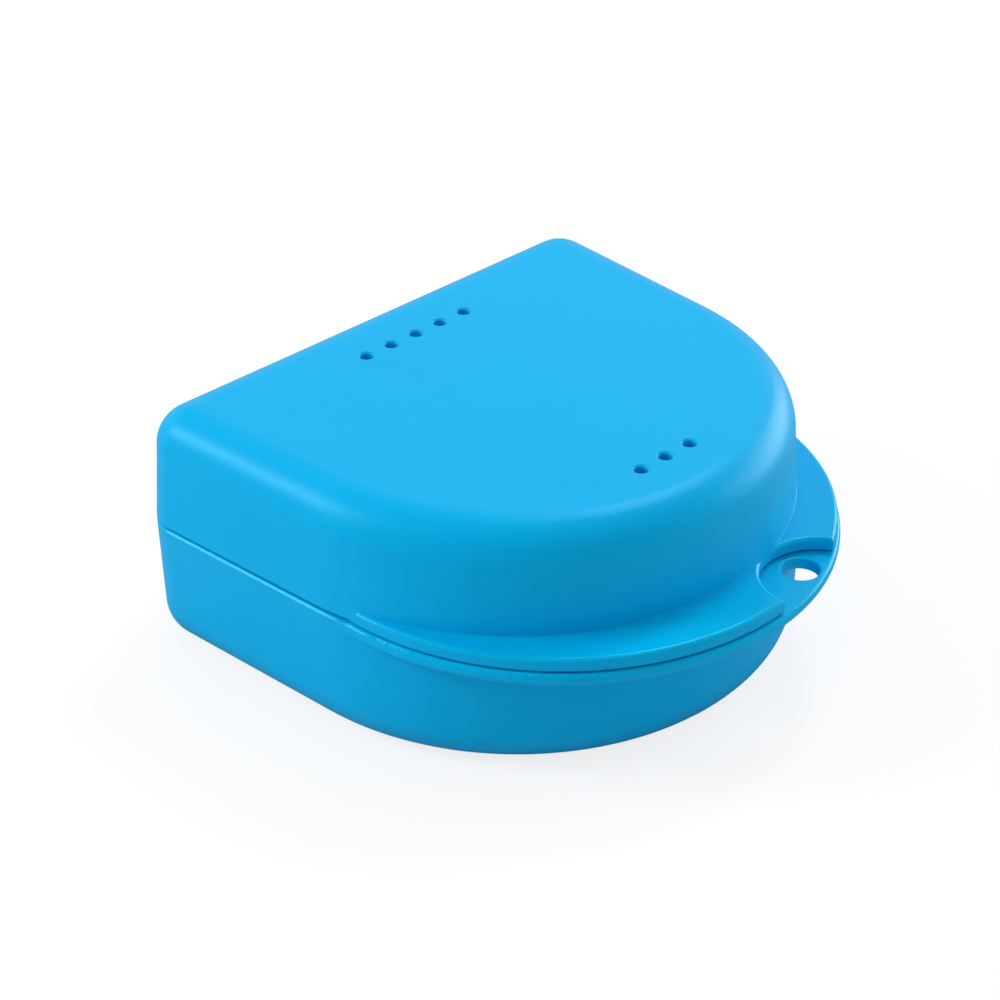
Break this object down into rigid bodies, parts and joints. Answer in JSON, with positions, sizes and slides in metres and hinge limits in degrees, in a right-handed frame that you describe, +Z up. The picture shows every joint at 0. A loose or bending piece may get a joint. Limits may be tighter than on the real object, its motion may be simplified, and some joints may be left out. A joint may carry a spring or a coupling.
{
  "type": "orthodontic retainer case",
  "caption": "Hinged D-shaped plastic retainer case with a drafted tray, a vented lid and a crescent grip flange with a lanyard hole.",
  "frame": {"origin": "on the table under the middle of the closed case's bounding box", "axes": "+X along the hinge, +Y towards the hinge at the back, +Z up; the grip flange is at -Y"},
  "size_m": [0.081, 0.0808, 0.0356],
  "materials": {
    "blue_polypropylene": "satin"
  },
  "bodies": {
    "tray": {"base_tray": "blue_polypropylene", "lanyard_tab": "blue_polypropylene"},
    "lid": {"hinged_lid": "blue_polypropylene"}
  },
  "joints": [
    {"name": "lid_hinge", "type": "hinge", "parent": "tray", "child": "lid", "pos_m": [0, 0.03873, 0.01905], "axis": [-1, 0, 0], "range_deg": [0, 180]}
  ]
}
